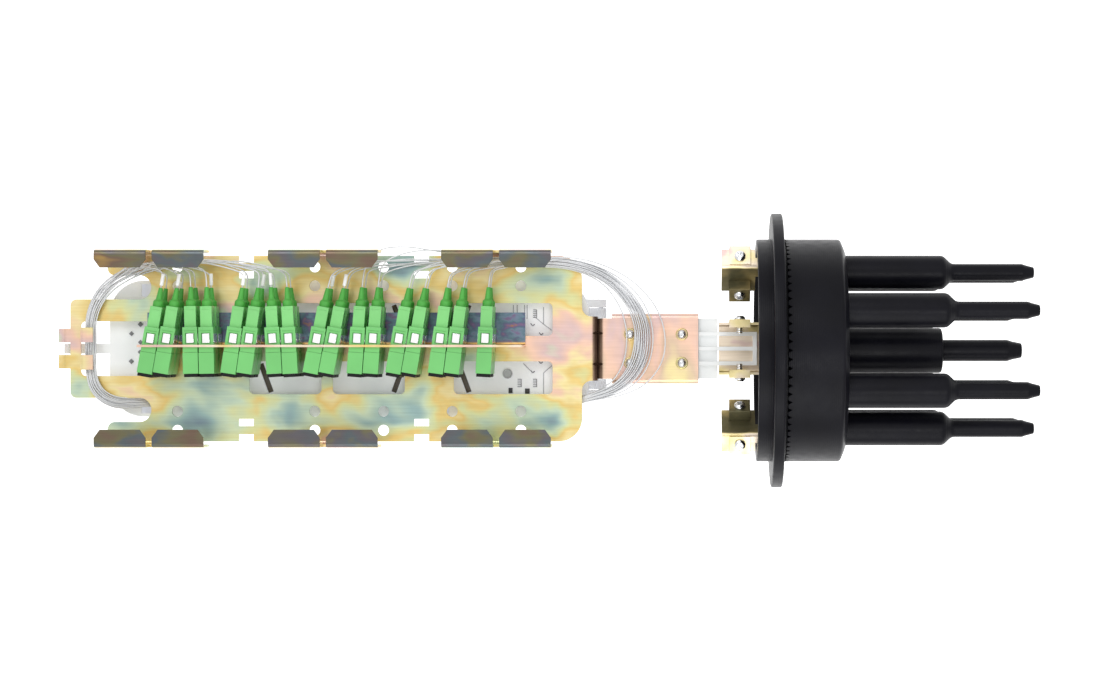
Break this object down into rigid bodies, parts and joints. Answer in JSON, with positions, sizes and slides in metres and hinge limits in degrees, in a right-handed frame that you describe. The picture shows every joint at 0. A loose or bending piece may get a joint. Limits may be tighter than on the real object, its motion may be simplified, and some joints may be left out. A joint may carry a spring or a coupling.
{
  "type": "fibre splice closure",
  "caption": "Opened dome type fibre splice closure: a round base with cable ports carries a plated adapter plate with plugged fibre adapters over hinged splice trays.",
  "frame": {"origin": "centre of the flange's sealing face on the base axis", "axes": "+X along the base axis to the tips of the cable ports, +Z square to the adapter plate on its plug side, +Y across the plate towards the plugs' boots"},
  "size_m": [0.6247, 0.175, 0.175],
  "materials": {
    "base_black": "satin",
    "zinc_yellow": "yellow iridescent zinc plating",
    "screw_zinc": "bright zinc",
    "cradle_white": "satin",
    "tray_white": "satin",
    "lid_white": "satin",
    "adapter_green": "gloss",
    "plug_green": "gloss",
    "boot_green": "satin",
    "clip_steel": "bright",
    "dust_black": "matte",
    "fibre_white": "smooth"
  },
  "bodies": {
    "base": {"base_body": "base_black", "inner_bracket": "zinc_yellow", "clamp_bracket_upper": "zinc_yellow", "clamp_bracket_lower": "zinc_yellow", "channel_bracket": "zinc_yellow", "adapter_plate": "zinc_yellow", "adapter_panel": "zinc_yellow", "panel_rivets": "zinc_yellow", "clamp_saddles": "screw_zinc", "bracket_screws": "screw_zinc", "channel_screws": "screw_zinc", "joint_bolts": "screw_zinc", "joint_nuts": "screw_zinc", "tray_hinge_pin": "screw_zinc", "cradle": "cradle_white", "adapters_lower_1": "adapter_green", "adapters_lower_2": "adapter_green", "adapters_lower_3": "adapter_green", "adapters_lower_4": "adapter_green", "adapters_lower_5": "adapter_green", "adapters_lower_6": "adapter_green", "adapters_lower_7": "adapter_green", "adapters_lower_8": "adapter_green", "adapters_lower_9": "adapter_green", "adapters_upper_1": "adapter_green", "adapters_upper_2": "adapter_green", "adapters_upper_3": "adapter_green", "adapters_upper_4": "adapter_green", "adapters_upper_5": "adapter_green", "adapters_upper_6": "adapter_green", "adapters_upper_7": "adapter_green", "adapters_upper_8": "adapter_green", "adapters_upper_9": "adapter_green", "plugs_lower_1": "plug_green", "plugs_lower_2": "plug_green", "plugs_lower_3": "plug_green", "plugs_lower_4": "plug_green", "plugs_lower_5": "plug_green", "plugs_lower_6": "plug_green", "plugs_lower_7": "plug_green", "plugs_lower_8": "plug_green", "plugs_lower_9": "plug_green", "plugs_upper_1": "plug_green", "plugs_upper_2": "plug_green", "plugs_upper_3": "plug_green", "plugs_upper_4": "plug_green", "plugs_upper_5": "plug_green", "plugs_upper_6": "plug_green", "plugs_upper_7": "plug_green", "plugs_upper_8": "plug_green", "plugs_upper_9": "plug_green", "plug_boots": "boot_green", "adapter_clips": "clip_steel", "dust_plugs": "dust_black", "fibre_bundle_left": "fibre_white", "fibre_bundle_right": "fibre_white"},
    "tray_1": {"splice_tray_1": "tray_white", "tray_link_pins": "screw_zinc"},
    "tray_2": {"splice_tray_2": "tray_white", "tray_lid": "lid_white"}
  },
  "joints": [
    {"name": "tray_1_swing", "type": "hinge", "parent": "base", "child": "tray_1", "pos_m": [-0.105, 0.0012, -0.027], "axis": [0, -1, 0], "range_deg": [0, 85]},
    {"name": "tray_2_swing", "type": "hinge", "parent": "tray_1", "child": "tray_2", "pos_m": [-0.11, 0.0012, -0.035], "axis": [0, -1, 0], "range_deg": [0, 60]}
  ]
}
